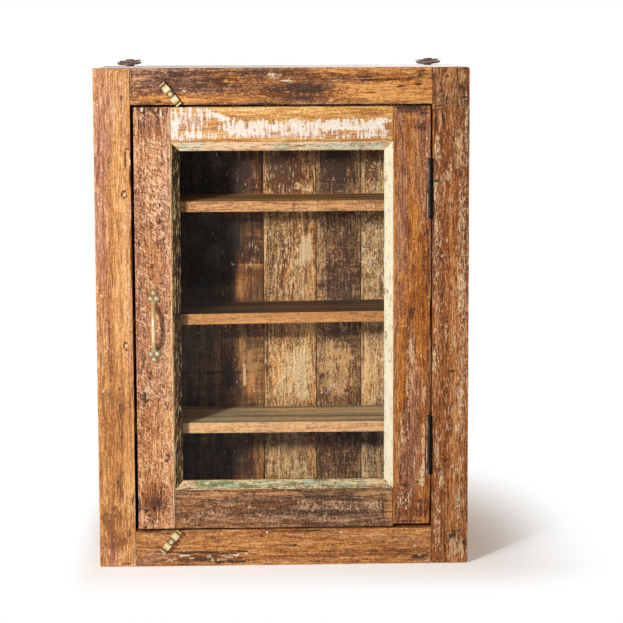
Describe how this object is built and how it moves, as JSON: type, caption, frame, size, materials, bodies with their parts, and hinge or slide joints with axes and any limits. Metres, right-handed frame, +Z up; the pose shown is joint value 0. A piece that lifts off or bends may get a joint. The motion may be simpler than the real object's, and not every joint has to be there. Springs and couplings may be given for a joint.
{
  "type": "wall cabinet",
  "caption": "Shallow wall cabinet of reclaimed boards with shelves behind one glazed, side-hinged door, brass bow handle, turn buttons and iron hanging rings.",
  "frame": {"origin": "middle of the case's underside, halfway between the frame's face and the back", "axes": "+X to the right seen from the front, +Y to the back, towards the wall, +Z up"},
  "size_m": [0.446, 0.174, 0.6084],
  "materials": {
    "frame_wood": "worn, waxed",
    "frame_wood_dark": "worn, waxed",
    "door_wood": "worn, saw-marked",
    "door_wood_dark": "worn, saw-marked",
    "painted_wood": "remains of white paint",
    "case_wood": "rough sawn",
    "shelf_wood": "planed edge, dark top",
    "back_wood": "rough sawn, dark",
    "back_wood_pale": "rough sawn, remains of pale paint",
    "moulding_cream": "old cream paint",
    "moulding_green": "old pale green paint",
    "moulding_olive": "old dark olive paint",
    "bead_wood": "rough sawn",
    "iron": "dark, oiled",
    "brass": "antique, worn bright",
    "glass": "clear, a little dusty"
  },
  "bodies": {
    "cabinet": {"side_left": "case_wood", "side_right": "case_wood", "top_board": "case_wood", "bottom_board": "case_wood", "back_plank_1": "back_wood", "back_plank_2": "back_wood", "back_plank_3": "back_wood", "back_plank_4": "back_wood_pale", "back_plank_5": "back_wood", "back_plank_6": "back_wood_pale", "back_plank_7": "back_wood", "frame_stile_left": "frame_wood", "frame_stile_right": "frame_wood", "frame_rail_top": "frame_wood_dark", "frame_rail_bottom": "frame_wood", "corner_patch": "frame_wood", "shelf_bottom": "shelf_wood", "shelf_middle": "shelf_wood", "shelf_top": "shelf_wood", "batten_bottom_left": "bead_wood", "batten_bottom_right": "bead_wood", "batten_middle_left": "bead_wood", "batten_middle_right": "bead_wood", "batten_top_left": "bead_wood", "batten_top_right": "bead_wood", "case_nails": "iron", "frame_nails": "iron", "hanger_strap_left": "iron", "hanger_strap_right": "iron", "hanger_screws": "iron", "button_screws": "brass", "hinge_leaf_frame_top": "iron", "hinge_leaf_frame_bottom": "iron", "hinge_pin_top": "iron", "hinge_pin_bottom": "iron", "hinge_screws_frame": "iron"},
    "door": {"hinge_leaf_door_top": "iron", "hinge_leaf_door_bottom": "iron", "hinge_screws_door": "iron", "door_stile_left": "door_wood", "door_stile_right": "door_wood", "door_rail_top": "painted_wood", "door_rail_bottom": "door_wood_dark", "moulding_left": "moulding_olive", "moulding_right": "moulding_cream", "moulding_top": "moulding_green", "moulding_bottom": "moulding_green", "glass_pane": "glass", "bead_left": "bead_wood", "bead_right": "bead_wood", "bead_top": "bead_wood", "bead_bottom": "bead_wood", "glazing_pins": "iron", "handle": "brass", "handle_screws": "brass"},
    "button_top": {"turn_button_top": "brass"},
    "button_bottom": {"turn_button_bottom": "brass"},
    "ring_left": {"hanging_ring_left": "iron"},
    "ring_right": {"hanging_ring_right": "iron"}
  },
  "joints": [
    {"name": "door_hinge", "type": "hinge", "parent": "cabinet", "child": "door", "pos_m": [0.1751, -0.0765, 0.3], "axis": [0, 0, 1], "range_deg": [0, 170]},
    {"name": "turn_button_top", "type": "hinge", "parent": "cabinet", "child": "button_top", "pos_m": [-0.1312, -0.0775, 0.5692], "axis": [0, 1, 0], "continuous": true},
    {"name": "turn_button_bottom", "type": "hinge", "parent": "cabinet", "child": "button_bottom", "pos_m": [-0.1365, -0.0775, 0.0312], "axis": [0, 1, 0], "continuous": true},
    {"name": "hang_ring_left", "type": "hinge", "parent": "cabinet", "child": "ring_left", "pos_m": [-0.185, 0.07202, 0.6052], "axis": [-0.9986, 0, -0.0523], "range_deg": [0, 220]},
    {"name": "hang_ring_right", "type": "hinge", "parent": "cabinet", "child": "ring_right", "pos_m": [0.185, 0.07202, 0.6052], "axis": [-0.9986, 0, -0.0523], "range_deg": [0, 220]}
  ]
}
